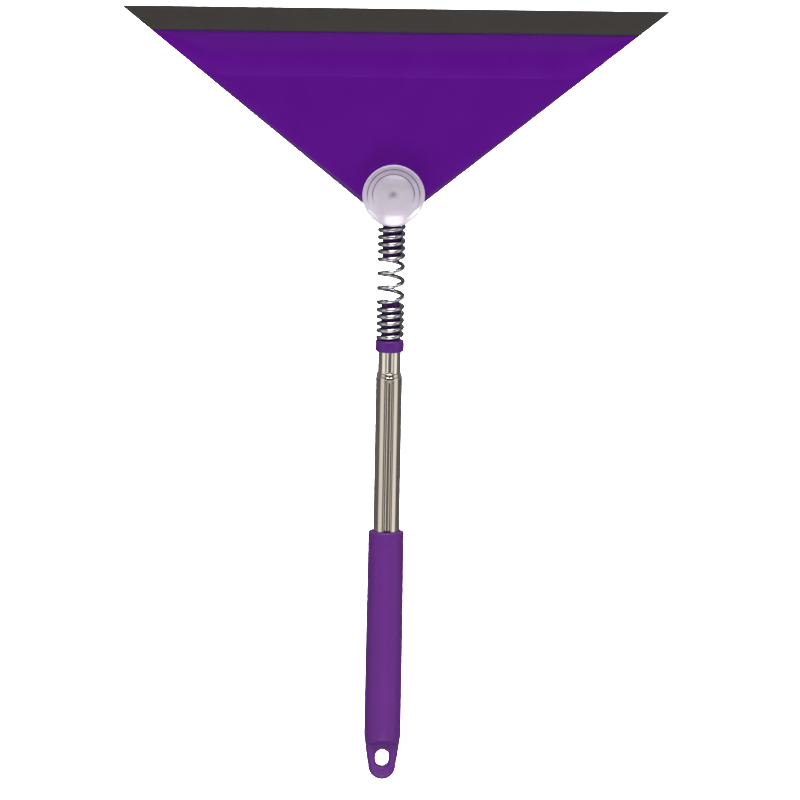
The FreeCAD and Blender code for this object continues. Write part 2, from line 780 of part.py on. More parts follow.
def make_head():
    """The flexible triangular head and the rubber blade on its tongue, which fit together."""
    wedge = new_body("head_wedge")
    apex = new_sketch(wedge, "apex_section", "XY_Plane", APEX)
    rounded_rectangle(apex, "Sizes.apex_width", "Sizes.apex_thickness", "Sizes.apex_round")
    top = new_sketch(wedge, "top_section", "XY_Plane", SHELL_TOP)
    rounded_rectangle(top, SHELL_WIDTH, "Sizes.shell_top_thickness", "Sizes.shell_top_round")
    loft = wedge.newObject("PartDesign::AdditiveLoft", "wedge_loft")
    loft.Profile = apex
    loft.Sections = [top]
    loft.Ruled = True

    lean = "(Sizes.trough_angle * 1 deg)"
    trough = solid(
        "Cylinder",
        "trough",
        x="-Sizes.blade_length / 2",
        y=f"-{CREASE_FACE} - Sizes.trough_radius * cos({lean})",
        z=f"{CREASE} + Sizes.trough_radius * sin({lean})",
        turn=(FreeCAD.Vector(0, 1, 0), 90),
        Radius="Sizes.trough_radius",
        Height="Sizes.blade_length",
    )
    socket = rod(
        "tenon_socket",
        "Sizes.tenon_radius + Sizes.socket_gap",
        f"{APEX} - {OVERRUN}",
        f"Sizes.tenon_length + Sizes.socket_gap + {OVERRUN}",
    )
    counterbore = solid(
        "Cylinder",
        "screw_counterbore",
        y=f"{SCREW_SEAT} + {OVERRUN}",
        z=SCREW_LEVEL,
        turn=(FreeCAD.Vector(1, 0, 0), 90),
        Radius="Sizes.screw_head_radius + Sizes.socket_gap",
        Height=f"Sizes.screw_sink + Sizes.screw_head_height + {OVERRUN}",
    )
    cup_hole = solid(
        "Cylinder",
        "cup_hole",
        y=f"-{CUP_SEAT} + Sizes.cup_neck_length",
        z=CUP_LEVEL,
        turn=(FreeCAD.Vector(1, 0, 0), 90),
        Radius="Sizes.cup_neck_radius",
        Height=f"Sizes.cup_neck_length + Sizes.cup_gap + {OVERRUN}",
    )
    cup_chamber = solid(
        "Cylinder",
        "cup_chamber",
        y=f"-{CUP_SEAT} + Sizes.cup_neck_length + Sizes.cup_bulb_length",
        z=CUP_LEVEL,
        turn=(FreeCAD.Vector(1, 0, 0), 90),
        Radius="Sizes.cup_bulb_radius",
        Height="Sizes.cup_bulb_length",
    )

    half = f"({SHELL_WIDTH} / 2 - Sizes.tongue_inset)"
    web = solid(
        "Box",
        "tongue_web",
        x=f"-{half}",
        y="-Sizes.tongue_thickness / 2",
        z=f"{SHELL_TOP} - {OVERRUN}",
        Length=f"2 * {half}",
        Width="Sizes.tongue_thickness",
        Height=f"Sizes.tongue_height + {OVERRUN}",
    )
    bead = solid(
        "Cylinder",
        "tongue_bead",
        x=f"-{half}",
        z=f"{SHELL_TOP} + Sizes.tongue_height",
        turn=(FreeCAD.Vector(0, 1, 0), 90),
        Radius="Sizes.bead_radius",
        Height=f"2 * {half}",
    )
    tongue = join("tongue", web, bead)
    drilled = cut(
        "head_drilled",
        wedge,
        trough,
        socket,
        counterbore,
        screw_hole("head_screw_hole"),
        cup_hole,
        cup_chamber,
        make_hollow(),
    )
    shell = join("head_shell", drilled, tongue)

    strip = new_body("blade_strip")
    root = new_sketch(strip, "blade_root", "XY_Plane", SHELL_TOP)
    rectangle(root, SHELL_WIDTH, "Sizes.blade_root_thickness")
    edge = new_sketch(strip, "blade_edge", "XY_Plane", f"{SHELL_TOP} + Sizes.blade_height")
    rectangle(edge, "Sizes.blade_length", "Sizes.blade_edge_thickness")
    loft = strip.newObject("PartDesign::AdditiveLoft", "blade_loft")
    loft.Profile = root
    loft.Sections = [edge]
    loft.Ruled = True
    blade = cut("wiper_blade", strip, tongue)
    return shell, blade


def make_suction_cup():
    """The clear suction cup, turned about the line of its bulb, which snaps in the head."""
    body = new_body("suction_cup")
    place(body, y=f"-{CUP_SEAT}", z=CUP_LEVEL)
    back = "-Sizes.cup_gap"
    lip = f"(-Sizes.cup_gap - Sizes.cup_depth)"
    revolve(
        body,
        "suction_cup",
        [
            ("Sizes.cup_neck_length + Sizes.cup_bulb_length", "0"),
            ("Sizes.cup_neck_length + Sizes.cup_bulb_length", "Sizes.cup_bulb_end_radius"),
            ("Sizes.cup_neck_length", "Sizes.cup_bulb_radius"),
            ("Sizes.cup_neck_length", "Sizes.cup_neck_radius"),
            (back, "Sizes.cup_neck_radius"),
            (back, "Sizes.cup_hub_radius"),
            (f"{back} - Sizes.cup_hub_thickness / 2", "Sizes.cup_hub_radius"),
            (f"{lip} + Sizes.cup_lip", "Sizes.cup_radius"),
            (lip, "Sizes.cup_radius"),
            (lip, "Sizes.cup_radius - Sizes.cup_lip"),
            (f"{back} - Sizes.cup_floor", "Sizes.cup_floor_radius"),
            (f"{back} - Sizes.cup_floor", "0"),
        ],
        {6: ("Sizes.cup_back_curve", -1), 9: ("Sizes.cup_inner_curve", 1)},
        plane="YZ_Plane",
        axis="H_Axis",
    )
    return body


nodes = {
    "grip": make_grip(),
    "outer_tube": make_outer_tube(),
    "end_stop": make_end_stop(),
    "inner_tube": make_inner_tube(),
    "slide_bush": make_slide_bush(),
    "friction_leaf": make_friction_leaf(),
    "lower_plug": make_lower_plug(),
    "coil_spring": make_coil_spring(),
    "neck_plug": make_neck_plug(),
    "neck_screw": make_neck_screw(),
}
nodes["head_shell"], nodes["wiper_blade"] = make_head()
nodes["suction_cup"] = make_suction_cup()
doc.recompute()

for thing in doc.Objects:
    failed = {"Invalid", "Error"} & set(thing.State)
    assert not failed, f"{thing.Name} is {sorted(failed)}"
for name, node in nodes.items():
    node.Label = name
    shape = node.Shape
    assert not shape.isNull() and shape.isValid(), f"{name} has no sound shape"
    assert len(shape.Solids) == 1, f"{name} has {len(shape.Solids)} solids"

os.makedirs("parts", exist_ok=True)
for name, node in nodes.items():
    node.Shape.exportStep(os.path.join("parts", f"{name}.step"))
    box = node.Shape.optimalBoundingBox()
    print(
        f"{name:14s} volume {node.Shape.Volume:9.1f}"
        f"  x {box.XMin:7.1f} {box.XMax:7.1f}  y {box.YMin:6.1f} {box.YMax:6.1f}"
        f"  z {box.ZMin:6.1f} {box.ZMax:6.1f}"
    )
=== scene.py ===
import math

import bmesh
import bpy
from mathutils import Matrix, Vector


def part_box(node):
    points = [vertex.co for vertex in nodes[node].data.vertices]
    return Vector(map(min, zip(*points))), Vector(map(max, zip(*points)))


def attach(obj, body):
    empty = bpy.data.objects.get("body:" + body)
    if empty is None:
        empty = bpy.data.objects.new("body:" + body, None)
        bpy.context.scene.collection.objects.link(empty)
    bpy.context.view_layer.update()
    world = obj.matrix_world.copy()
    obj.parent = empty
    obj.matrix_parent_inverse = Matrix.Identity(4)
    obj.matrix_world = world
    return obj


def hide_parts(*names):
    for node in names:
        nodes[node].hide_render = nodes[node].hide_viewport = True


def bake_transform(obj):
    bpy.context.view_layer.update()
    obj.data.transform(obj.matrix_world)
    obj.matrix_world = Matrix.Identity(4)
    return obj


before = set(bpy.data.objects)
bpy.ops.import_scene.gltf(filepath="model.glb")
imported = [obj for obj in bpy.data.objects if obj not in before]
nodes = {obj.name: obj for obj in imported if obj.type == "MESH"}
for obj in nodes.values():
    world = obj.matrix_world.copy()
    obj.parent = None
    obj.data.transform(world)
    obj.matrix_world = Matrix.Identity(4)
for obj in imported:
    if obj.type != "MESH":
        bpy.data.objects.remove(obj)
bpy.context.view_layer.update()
mm = 0.001


# ---------------------------------------------------------------- outer tube
# The lower, larger stage of the pole: half-millimetre stainless tube, drawn to
# size and left bright. A groove is rolled down its front so that the stages
# cannot turn, and its mouth is swaged in to hold the inner stage.

def put(tree, kind, inputs=None, **settings):
    """Adds a node, sets its settings, and fills or joins its named inputs."""
    made = tree.nodes.new(f"ShaderNode{kind}")
    for key, value in settings.items():
        setattr(made, key, value)
    for key, value in (inputs or {}).items():
        socket = made.inputs[key]
        if isinstance(value, bpy.types.NodeSocket):
            tree.links.new(value, socket)
        else:
            socket.default_value = value
    return made


def effect_group(name, takes, gives):
    """A shared effect: a node group with named float inputs and named outputs."""
    tree = bpy.data.node_groups.new(name, "ShaderNodeTree")
    for label, value in takes.items():
        socket = tree.interface.new_socket(label, in_out="INPUT", socket_type="NodeSocketFloat")
        socket.default_value = value
    for label, kind in gives.items():
        tree.interface.new_socket(label, in_out="OUTPUT", socket_type=f"NodeSocket{kind}")
    way_in = tree.nodes.new("NodeGroupInput")
    way_out = tree.nodes.new("NodeGroupOutput")
    return tree, way_in.outputs, way_out.inputs


def use_effect(tree, group, **values):
    """Places a shared effect in a material with its own values; gives its outputs."""
    made = tree.nodes.new("ShaderNodeGroup")
    made.node_tree = group
    for label, value in values.items():
        made.inputs[label.replace("_", " ")].default_value = value
    return made.outputs


def new_finish(name):
    """A material with a Principled surface; gives the material, its tree and its shader."""
    finish = bpy.data.materials.new(name)
    finish.use_nodes = True
    tree = finish.node_tree
    tree.nodes.clear()
    shader = put(tree, "BsdfPrincipled")
    put(tree, "OutputMaterial", {"Surface": shader.outputs["BSDF"]})
    return finish, tree, shader


def blend_colours(tree, mask, low, high):
    """A colour that runs from low to high as the mask goes from 0 to 1."""
    mix = put(tree, "Mix", data_type="RGBA")
    mix.inputs[6].default_value = (*low, 1)
    mix.inputs[7].default_value = (*high, 1)
    tree.links.new(mask, mix.inputs[0])
    return mix.outputs[2]


def blend_numbers(tree, mask, low, high):
    """A number that runs from low to high as the mask goes from 0 to 1."""
    return put(tree, "MapRange", {"Value": mask, "To Min": low, "To Max": high}).outputs[0]


def raise_surface(tree, shader, height, strength, distance):
    """Fine relief on the surface."""
    bump = put(tree, "Bump", {"Height": height, "Strength": strength, "Distance": distance})
    tree.links.new(bump.outputs[0], shader.inputs["Normal"])


# Fine lines along the pole, as drawing through a die leaves them.
drawn_lines, takes, gives = effect_group(
    "drawn_lines", {"Fineness": 1.0, "Length": 1.0}, {"Lines": "Float", "Cloud": "Float"}
)
place = put(drawn_lines, "TexCoord").outputs["Object"]
parts = put(drawn_lines, "SeparateXYZ", {"Vector": place}).outputs
slow = put(drawn_lines, "Math", {0: parts[2], 1: takes["Length"]}, operation="DIVIDE").outputs[0]
along = put(drawn_lines, "CombineXYZ", {"X": parts[0], "Y": parts[1], "Z": slow}).outputs[0]
fine = put(drawn_lines, "Math", {0: 2600.0, 1: takes["Fineness"]}, operation="MULTIPLY").outputs[0]
lines = put(drawn_lines, "TexNoise", {"Vector": along, "Scale": fine, "Detail": 3.0})
cloud = put(drawn_lines, "TexNoise", {"Vector": place, "Scale": 45.0, "Detail": 4.0})
drawn_lines.links.new(lines.outputs[0], gives["Lines"])
drawn_lines.links.new(cloud.outputs[0], gives["Cloud"])

# Worn edges: where the surface turns sharply outwards.
worn_edges, takes, gives = effect_group("worn_edges", {"Start": 0.52, "Full": 0.62}, {"Mask": "Float"})
turn = put(worn_edges, "NewGeometry").outputs["Pointiness"]
mask = put(worn_edges, "MapRange", {"Value": turn, "From Min": takes["Start"], "From Max": takes["Full"]})
worn_edges.links.new(mask.outputs[0], gives["Mask"])


def steel_finish(name, light, dark, roughness):
    """Bright drawn stainless: warm grey, with draw lines and faint handling marks."""
    finish, tree, shader = new_finish(name)
    marks = use_effect(tree, drawn_lines, Fineness=1.0, Length=60.0)
    tint = blend_colours(tree, marks["Cloud"], dark, light)
    worn = use_effect(tree, worn_edges)
    bright = put(tree, "Mix", data_type="RGBA")
    tree.links.new(worn["Mask"], bright.inputs[0])
    tree.links.new(tint, bright.inputs[6])
    bright.inputs[7].default_value = (*[min(1, c * 1.15) for c in light], 1)
    tree.links.new(bright.outputs[2], shader.inputs["Base Color"])
    dull = put(tree, "Math", {0: marks["Lines"], 1: marks["Cloud"]}, operation="MULTIPLY").outputs[0]
    spread = put(
        tree,
        "MapRange",
        {"Value": dull, "From Max": 0.5, "To Min": roughness * 0.75, "To Max": roughness * 1.35},
    )
    tree.links.new(spread.outputs[0], shader.inputs["Roughness"])
    raise_surface(tree, shader, marks["Lines"], 0.10, 0.00002)
    shader.inputs["Metallic"].default_value = 1.0
    return finish


def skin(rings, cyclic=False, cap_start=False, cap_end=False):
    """Points and faces of a skin over rings that all have as many points."""
    count = len(rings[0])
    points = [point for ring in rings for point in ring]
    faces = []
    last = len(rings) if cyclic else len(rings) - 1
    for i in range(last):
        here, there = i * count, (i + 1) % len(rings) * count
        for k in range(count):
            after = (k + 1) % count
            faces.append((here + k, here + after, there + after, there + k))
    if cap_start:
        faces.append(tuple(reversed(range(count))))
    if cap_end:
        faces.append(tuple(range((len(rings) - 1) * count, len(rings) * count)))
    return points, faces


def new_piece(name, points, faces, finish, crease=40):
    """A mesh object, smooth except where it turns more than so many degrees."""
    mesh = bpy.data.meshes.new(name)
    mesh.from_pydata(points, [], faces)
    made = bpy.data.objects.new(name, mesh)
    bpy.context.collection.objects.link(made)
    tidy = bmesh.new()
    tidy.from_mesh(mesh)
    bmesh.ops.recalc_face_normals(tidy, faces=tidy.faces)
    tidy.to_mesh(mesh)
    tidy.free()
    mesh.materials.append(finish)
    mesh.shade_smooth()
    mesh.set_sharp_from_angle(angle=math.radians(crease))
    return made


def stands_for(piece, node, body):
    """The piece rides on a body, in place of a CAD node, which it hides."""
    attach(piece, body)
    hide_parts(node)


def carve(piece, cutter, crease=35):
    """Takes the cutter's space out of the piece and keeps only the result."""
    tool = piece.modifiers.new("carve", "BOOLEAN")
    tool.operation = "DIFFERENCE"
    tool.solver = "EXACT"
    tool.object = cutter
    graph = bpy.context.evaluated_depsgraph_get()
    carved = bpy.data.meshes.new_from_object(piece.evaluated_get(graph))
    piece.modifiers.clear()
    piece.data = carved
    bpy.data.objects.remove(cutter)
    carved.shade_smooth()
    carved.set_sharp_from_angle(angle=math.radians(crease))


def grooved_ring(radius, centre, groove, shoulder, level, fill=0.0):
    """One round of a tube's wall with a groove down its front.

    centre is how far the groove's own centre stands in front of the axis, and the
    shoulder is the round that leads from the tube into the groove. fill brings the
    groove out to the plain round, all the way at 1.
    """
    sy = ((groove + shoulder) ** 2 - (radius - shoulder) ** 2 - centre**2) / (2 * centre)
    sx = math.sqrt(max((radius - shoulder) ** 2 - sy**2, 0.0))
    leave = math.atan2(sy, sx)
    meet = math.atan2(-(sy + centre), -sx) - 2 * math.pi
    into = math.atan2(sy + centre, sx)
    half = []
    for k in range(41):
        angle = math.pi / 2 + (leave - math.pi / 2) * k / 40
        half.append((radius * math.cos(angle), radius * math.sin(angle)))
    while meet > leave:
        meet -= 2 * math.pi
    while meet < leave - 2 * math.pi:
        meet += 2 * math.pi
    for k in range(1, 9):
        angle = leave + (meet - leave) * k / 8
        half.append((sx + shoulder * math.cos(angle), sy + shoulder * math.sin(angle)))
    for k in range(1, 13):
        angle = into + (math.pi / 2 - into) * k / 12
        half.append((groove * math.cos(angle), groove * math.sin(angle) - centre))
    outline = half + [(-x, y) for x, y in reversed(half[1:-1])]
    ring = []
    for x, y in outline:
        out = 1 + (radius / math.hypot(x, y) - 1) * fill
        ring.append((x * out, y * out, level))
    return ring


pole_steel = steel_finish("pole_stainless", (0.66, 0.60, 0.51), (0.56, 0.50, 0.42), 0.14)
tube_low, tube_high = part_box("outer_tube")
tube_radius = tube_high[0]
tube_wall = 0.5 * mm
groove_radius = 2.4 * mm
groove_shoulder = 0.9 * mm
swage = 3.1 * mm
mouth_bore = 8.32 * mm
groove_top = tube_high[2] - swage - 1.0 * mm
rings = [grooved_ring(tube_radius, tube_radius, groove_radius, groove_shoulder, tube_low[2])]
for k in range(17):
    # the groove runs out in a ball end
    drop = groove_radius * (1 - k / 16)
    fill = 1 - math.sqrt(max(groove_radius**2 - (groove_radius - drop) ** 2, 0)) / groove_radius
    rings.append(
        grooved_ring(tube_radius, tube_radius, groove_radius, groove_shoulder, groove_top - drop, fill)
    )


def plain_ring(radius, level):
    """One round of the swaged neck, which has no groove."""
    return grooved_ring(radius, tube_radius, groove_radius, groove_shoulder, level, fill=1.0)


# the swage: a first nip under the rim, a rolled band, and the rim itself
for below, narrowing in (
    (3.6, 0.0), (3.1, 0.10), (2.7, 0.34), (2.4, 0.66), (2.2, 0.74), (2.0, 0.66), (1.7, 0.58),
    (1.2, 0.62), (0.7, 0.76), (0.35, 0.92),
):
    radius = tube_radius + (mouth_bore + tube_wall - tube_radius) * narrowing
    rings.append(plain_ring(radius, tube_high[2] - below * mm))
for inward, up in ((0.1, 0.0), (0.5, 0.12), (0.9, 0.0)):
    rings.append(plain_ring(mouth_bore + tube_wall * (1 - inward), tube_high[2] - (0.12 - up) * mm))
inner_wall = tube_radius - tube_wall
rings.append(plain_ring(mouth_bore, tube_high[2] - 2.2 * mm))
rings.append(plain_ring(inner_wall, tube_high[2] - swage - 0.6 * mm))
ridge = groove_radius + tube_wall
rings.append(grooved_ring(inner_wall, tube_radius, ridge, 0.4 * mm, groove_top - ridge))
rings.append(grooved_ring(inner_wall, tube_radius, ridge, 0.4 * mm, tube_low[2]))
outer_tube = new_piece("outer_tube_drawn", *skin(rings, cyclic=True), pole_steel, crease=50)

# the pierced dimple under the rim, where the groove's tool starts
dimple = 0.62 * mm
turn = [2 * math.pi * k / 24 for k in range(24)]
rings = []
for depth in (-tube_radius - 1 * mm, -mouth_bore + 1 * mm):
    rings.append(
        [(dimple * math.cos(a), depth, tube_high[2] - 2.1 * mm + dimple * math.sin(a)) for a in turn]
    )
carve(outer_tube, new_piece("dimple_cutter", *skin(rings, cap_start=True, cap_end=True), pole_steel), crease=50)
stands_for(outer_tube, "outer_tube", "handle")


# ---------------------------------------------------------------- inner tube
# The upper, slimmer stage: the same drawn stainless, with a wider groove that
# runs on the outer tube's ridge. It slides, so it is a shade brighter.

slider_steel = steel_finish("slider_stainless", (0.70, 0.64, 0.55), (0.60, 0.54, 0.46), 0.12)
inner_low, inner_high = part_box("inner_tube")
inner_radius = inner_high[0]
inner_groove = ridge + 0.3 * mm
rings = [
    grooved_ring(inner_radius, tube_radius, inner_groove, 0.8 * mm, inner_low[2]),
    grooved_ring(inner_radius, tube_radius, inner_groove, 0.8 * mm, inner_high[2]),
    grooved_ring(inner_radius - tube_wall, tube_radius, inner_groove + tube_wall, 0.3 * mm, inner_high[2]),
    grooved_ring(inner_radius - tube_wall, tube_radius, inner_groove + tube_wall, 0.3 * mm, inner_low[2]),
]
inner_tube = new_piece("inner_tube_drawn", *skin(rings, cyclic=True), slider_steel, crease=50)
stands_for(inner_tube, "inner_tube", "extension")


# ------------------------------------- bush, leaf and stop inside the pole
# A natural nylon bush snaps on the inner tube's foot, a bowed spring-steel leaf
# in its window rubs on the outer tube, and a black moulded plug closes the foot
# of the outer tube. They are hidden in use, and keep their CAD shapes.

moulded_grain, takes, gives = effect_group(
    "moulded_grain", {"Fineness": 1.0}, {"Grain": "Float", "Cloud": "Float"}
)
place = put(moulded_grain, "TexCoord").outputs["Object"]
fine = put(moulded_grain, "Math", {0: 2200.0, 1: takes["Fineness"]}, operation="MULTIPLY").outputs[0]
grain = put(moulded_grain, "TexNoise", {"Vector": place, "Scale": fine, "Detail": 2.0, "Roughness": 0.6})
cloud = put(moulded_grain, "TexNoise", {"Vector": place, "Scale": 38.0, "Detail": 3.0})
moulded_grain.links.new(grain.outputs[0], gives["Grain"])
moulded_grain.links.new(cloud.outputs[0], gives["Cloud"])


def plastic_finish(name, light, dark, worn_tint, roughness, grain_depth):
    """Moulded plastic: a little cloudy in colour, grained, and paler on worn edges."""
    finish, tree, shader = new_finish(name)
    texture = use_effect(tree, moulded_grain)
    tint = blend_colours(tree, texture["Cloud"], dark, light)
    worn = use_effect(tree, worn_edges, Start=0.54, Full=0.68)
    edge = put(tree, "Mix", data_type="RGBA")
    rub = put(tree, "Math", {0: worn["Mask"], 1: texture["Grain"]}, operation="MULTIPLY").outputs[0]
    tree.links.new(rub, edge.inputs[0])
    tree.links.new(tint, edge.inputs[6])
    edge.inputs[7].default_value = (*worn_tint, 1)
    tree.links.new(edge.outputs[2], shader.inputs["Base Color"])
    tree.links.new(
        blend_numbers(tree, texture["Cloud"], roughness * 0.85, roughness * 1.15), shader.inputs["Roughness"]
    )
    raise_surface(tree, shader, texture["Grain"], grain_depth, 0.00005)
    shader.inputs["Specular IOR Level"].default_value = 0.28
    return finish


nylon = plastic_finish("bush_nylon", (0.80, 0.79, 0.74), (0.72, 0.71, 0.66), (0.9, 0.9, 0.86), 0.45, 0.1)
black_plastic = plastic_finish(
    "stop_plastic", (0.02, 0.02, 0.02), (0.012, 0.012, 0.012), (0.1, 0.1, 0.1), 0.5, 0.15
)
leaf_steel = steel_finish("leaf_spring_steel", (0.45, 0.46, 0.50), (0.33, 0.34, 0.38), 0.28)
for node, finish in (("slide_bush", nylon), ("end_stop", black_plastic), ("friction_leaf", leaf_steel)):
    nodes[node].data.materials.clear()
    nodes[node].data.materials.append(finish)


# ---------------------------------------------------------------------- grip
# The hand grip: one matte polypropylene moulding, round along the barrel and
# pushed over the outer tube with glue. Its foot is flattened into a tab with an
# oval hole to hang it by.

grip_low, grip_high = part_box("grip")
grip_purple = plastic_finish(
    "grip_matte_purple", (0.120, 0.0175, 0.215), (0.105, 0.0145, 0.190), (0.22, 0.06, 0.32), 0.47, 0.22
)
barrel_radius = grip_high[0]
mouth_radius = barrel_radius - 0.4 * mm
tab_radius = 9.9 * mm
tab_half = 5.5 * mm
taper_start = grip_low[2] + 32.5 * mm
step_level = grip_low[2] + 26.4 * mm
step_slope = 1 / math.tan(math.radians(25))
edge_round = 1.3 * mm
bore = tube_radius + 0.12 * mm
bore_floor = tube_low[2] - 1.5 * mm


def softly_least(a, b, softness):
    """The smaller of two lengths, with a round where they meet."""
    share = max(softness - abs(a - b), 0.0) / softness
    return min(a, b) - share * share * softness / 4


def grip_radius(level):
    """The moulding's radius, from the round end of the tab up to the mouth."""
    foot = grip_low[2] + tab_radius
    if level < foot:
        return math.sqrt(max(tab_radius**2 - (foot - level) ** 2, 0.0))
    if level < taper_start:
        share = (level - foot) / (taper_start - foot)
        return tab_radius + (barrel_radius - tab_radius) * (share + 0.16 * share * (1 - share))
    along = (level - taper_start) / (grip_high[2] - taper_start)
    return barrel_radius + (mouth_radius - barrel_radius) * max(along - 0.35, 0.0) / 0.65


def grip_ring(radius, level, count=96):
    """One round of the grip: a circle with its front and back flattened on the tab."""
    above = max(level - step_level, 0.0)
    half = tab_half + above * step_slope
    ring = []
    for k in range(count):
        angle = 2 * math.pi * k / count
        x, y = radius * math.cos(angle), radius * math.sin(angle)
        flat = softly_least(abs(y), half, 1.6 * mm) if radius > half - 1.6 * mm else abs(y)
        ring.append((x, math.copysign(max(flat, 0.0), y), level))
    return ring


levels = []
for a in (1.5, 6, 12, 20, 30, 42, 55, 68, 80):
    levels.append(grip_low[2] + tab_radius * (1 - math.cos(math.radians(a))))
level = grip_low[2] + tab_radius
while level < step_level - 1.0 * mm:
    levels.append(level)
    level += 1.5 * mm
while level < step_level + 6 * mm:
    levels.append(level)
    level += 0.3 * mm
while level < grip_high[2] - 2 * edge_round:
    levels.append(level)
    level += 6 * mm
rings = [grip_ring(grip_radius(level), level) for level in levels]
for angle in range(0, 91, 15):
    turn = math.radians(angle)
    radius = mouth_radius - edge_round * (1 - math.cos(turn))
    rings.append(grip_ring(radius, grip_high[2] - edge_round * (1 - math.sin(turn))))
rings.append(grip_ring(bore + 0.35 * mm, grip_high[2]))
rings.append(grip_ring(bore, grip_high[2] - 0.5 * mm))
rings.append(grip_ring(bore, bore_floor))
points, faces = skin(rings, cap_start=True, cap_end=True)
grip = new_piece("grip_moulding", points, faces, grip_purple, crease=35)


# the hanging hole's cutter flares at both faces, which rounds the hole's rims
hole_level = grip_low[2] + 15.75 * mm
hole_half = 4.8 * mm
hole_straight = 1.55 * mm
rim_round = 1.5 * mm
rings = []
for side in (-1, 1):
    curve = [rim_round * (1 - math.cos(math.radians(a))) for a in (0, 20, 40, 60, 80)]
    depths = [tab_half + 3 * mm] + [tab_half - drop for drop in curve]
    flares = [rim_round] + [rim_round * (1 - math.sin(math.radians(a))) for a in (0, 20, 40, 60, 80)]
    pairs = list(zip(depths, flares))
    for depth, flare in pairs if side < 0 else reversed(pairs):
        ring = []
        for k in range(64):
            angle = 2 * math.pi * (k + 0.5) / 64
            lift = math.copysign(hole_straight, math.sin(angle))
            reach = hole_half + flare
            ring.append((reach * math.cos(angle), side * depth, hole_level + lift + reach * math.sin(angle)))
        rings.append(ring)
carve(grip, new_piece("hole_cutter", *skin(rings, cap_start=True, cap_end=True), grip_purple))
stands_for(grip, "grip", "handle")


# ------------------------------------------------------------- spring plugs
# Two turned-looking polypropylene mouldings that the spring's end coils grip.
# The lower one is pressed in the inner tube, the upper one has a tenon in the
# head; each shows a matte collar and, between the coils, its dark stub.

collar_purple = plastic_finish(
    "collar_matte_purple", (0.102, 0.0145, 0.205), (0.088, 0.0120, 0.180), (0.18, 0.045, 0.30), 0.40, 0.15
)


def lathe(name, profile, finish, count=96, crease=40):
    """A solid turned about the pole's axis from radius and level pairs, foot to top."""
    rings = []
    for radius, level in profile:
        turn = [2 * math.pi * k / count for k in range(count)]
        rings.append([(radius * math.cos(a), radius * math.sin(a), level) for a in turn])
    return new_piece(name, *skin(rings, cap_start=True, cap_end=True), finish, crease)


def round_corner(radius, level, size, start, steps=5):
    """Radius and level pairs of a quarter round that turns from start by 90 degrees."""
    pairs = []
    for k in range(steps + 1):
        angle = math.radians(start + 90 * k / steps)
        pairs.append((radius + size * math.cos(angle), level + size * math.sin(angle)))
    return pairs


plug_low, plug_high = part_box("lower_plug")
collar_radius = plug_high[0]
spring_low, spring_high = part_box("coil_spring")
stub_radius = 6.6 * mm
collar_round = 1.3 * mm
stub_round = 1.6 * mm
stem_radius = 5.6 * mm
lower_profile = [(stem_radius, plug_low[2]), (stem_radius, inner_high[2] - 0.2 * mm)]
lower_profile += [(stem_radius, inner_high[2])]
lower_profile += round_corner(collar_radius - collar_round, inner_high[2] + collar_round, collar_round, -90)
lower_profile += round_corner(collar_radius - collar_round, spring_low[2] - collar_round, collar_round, 0)
lower_profile += [(stub_radius + 0.3 * mm, spring_low[2]), (stub_radius, spring_low[2] + 0.3 * mm)]
lower_profile += round_corner(stub_radius - stub_round, plug_high[2] - stub_round, stub_round, 0)
lower_plug = lathe("lower_plug_moulding", lower_profile, collar_purple)
stands_for(lower_plug, "lower_plug", "extension")

neck_low, neck_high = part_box("neck_plug")
apex_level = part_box("head_shell")[0][2]
tenon_radius = 5.0 * mm
upper_profile = [(1.0 * mm, neck_low[2])]
upper_profile += round_corner(stub_radius - stub_round, neck_low[2] + stub_round, stub_round, -90)
upper_profile += [(stub_radius, spring_high[2] - 0.3 * mm), (stub_radius + 0.3 * mm, spring_high[2])]
upper_profile += round_corner(collar_radius - collar_round, spring_high[2] + collar_round, collar_round, -90)
upper_profile += round_corner(collar_radius - collar_round, apex_level - collar_round, collar_round, 0)
upper_profile += [(tenon_radius, apex_level), (tenon_radius, neck_high[2])]
neck_plug = lathe("neck_plug_moulding", upper_profile, collar_purple)
stands_for(neck_plug, "neck_plug", "head")


# --------------------------------------------------------------- coil spring
# The neck: one length of 3.3 mm round spring wire, coiled close on both plugs and open between them, then
# chrome plated. The real spring bends between its open coils; here it is shown as a lower and an upper half
# that meet at the middle open coil.

wire = 3.3 * mm / 2
coil_radius = spring_high[0] - wire
runs = ((5.0, 4.97 * mm), (3.0, 10.67 * mm), (4.5, 5.2 * mm))
ring_sides = 24
steps_per_turn = 56


def coil_level(turns):
    """The wire's height after so many turns, each run's pitch easing into the next."""
    ease = 0.35
    level = spring_low[2] + wire
    begun = 0.0
    for count, pitch in runs:
        inside = min(max(turns - begun, 0.0), count)
        level += inside * pitch
        begun += count
    softening = 0.0
    joint_at = 0.0
    for (count, pitch), (_, following) in zip(runs, runs[1:]):
        joint_at += count
        off = abs(turns - joint_at)
        if off < ease:
            softening += (following - pitch) * (ease - off) ** 2 / (4 * ease)
    return level + softening


def coil_point(turns):
    """Where the wire's middle is after so many turns."""
    angle = math.pi + 2 * math.pi * turns
    return Vector((coil_radius * math.cos(angle), coil_radius * math.sin(angle), coil_level(turns)))


def wire_run(name, first, last, finish):
    """The wire from one turn to another, as a closed round tube."""
    steps = round((last - first) * steps_per_turn)
    rings = []
    for k in range(steps + 1):
        turns = first + (last - first) * k / steps
        at = coil_point(turns)
        ahead = (coil_point(turns + 0.01) - coil_point(turns - 0.01)).normalized()
        outward = Vector((at.x, at.y, 0)).normalized()
        upward = ahead.cross(outward).normalized()
        turn = [2 * math.pi * s / ring_sides for s in range(ring_sides)]
        rings.append([at + wire * (outward * math.cos(a) + upward * math.sin(a)) for a in turn])
    return new_piece(name, *skin(rings, cap_start=True, cap_end=True), finish, crease=60)


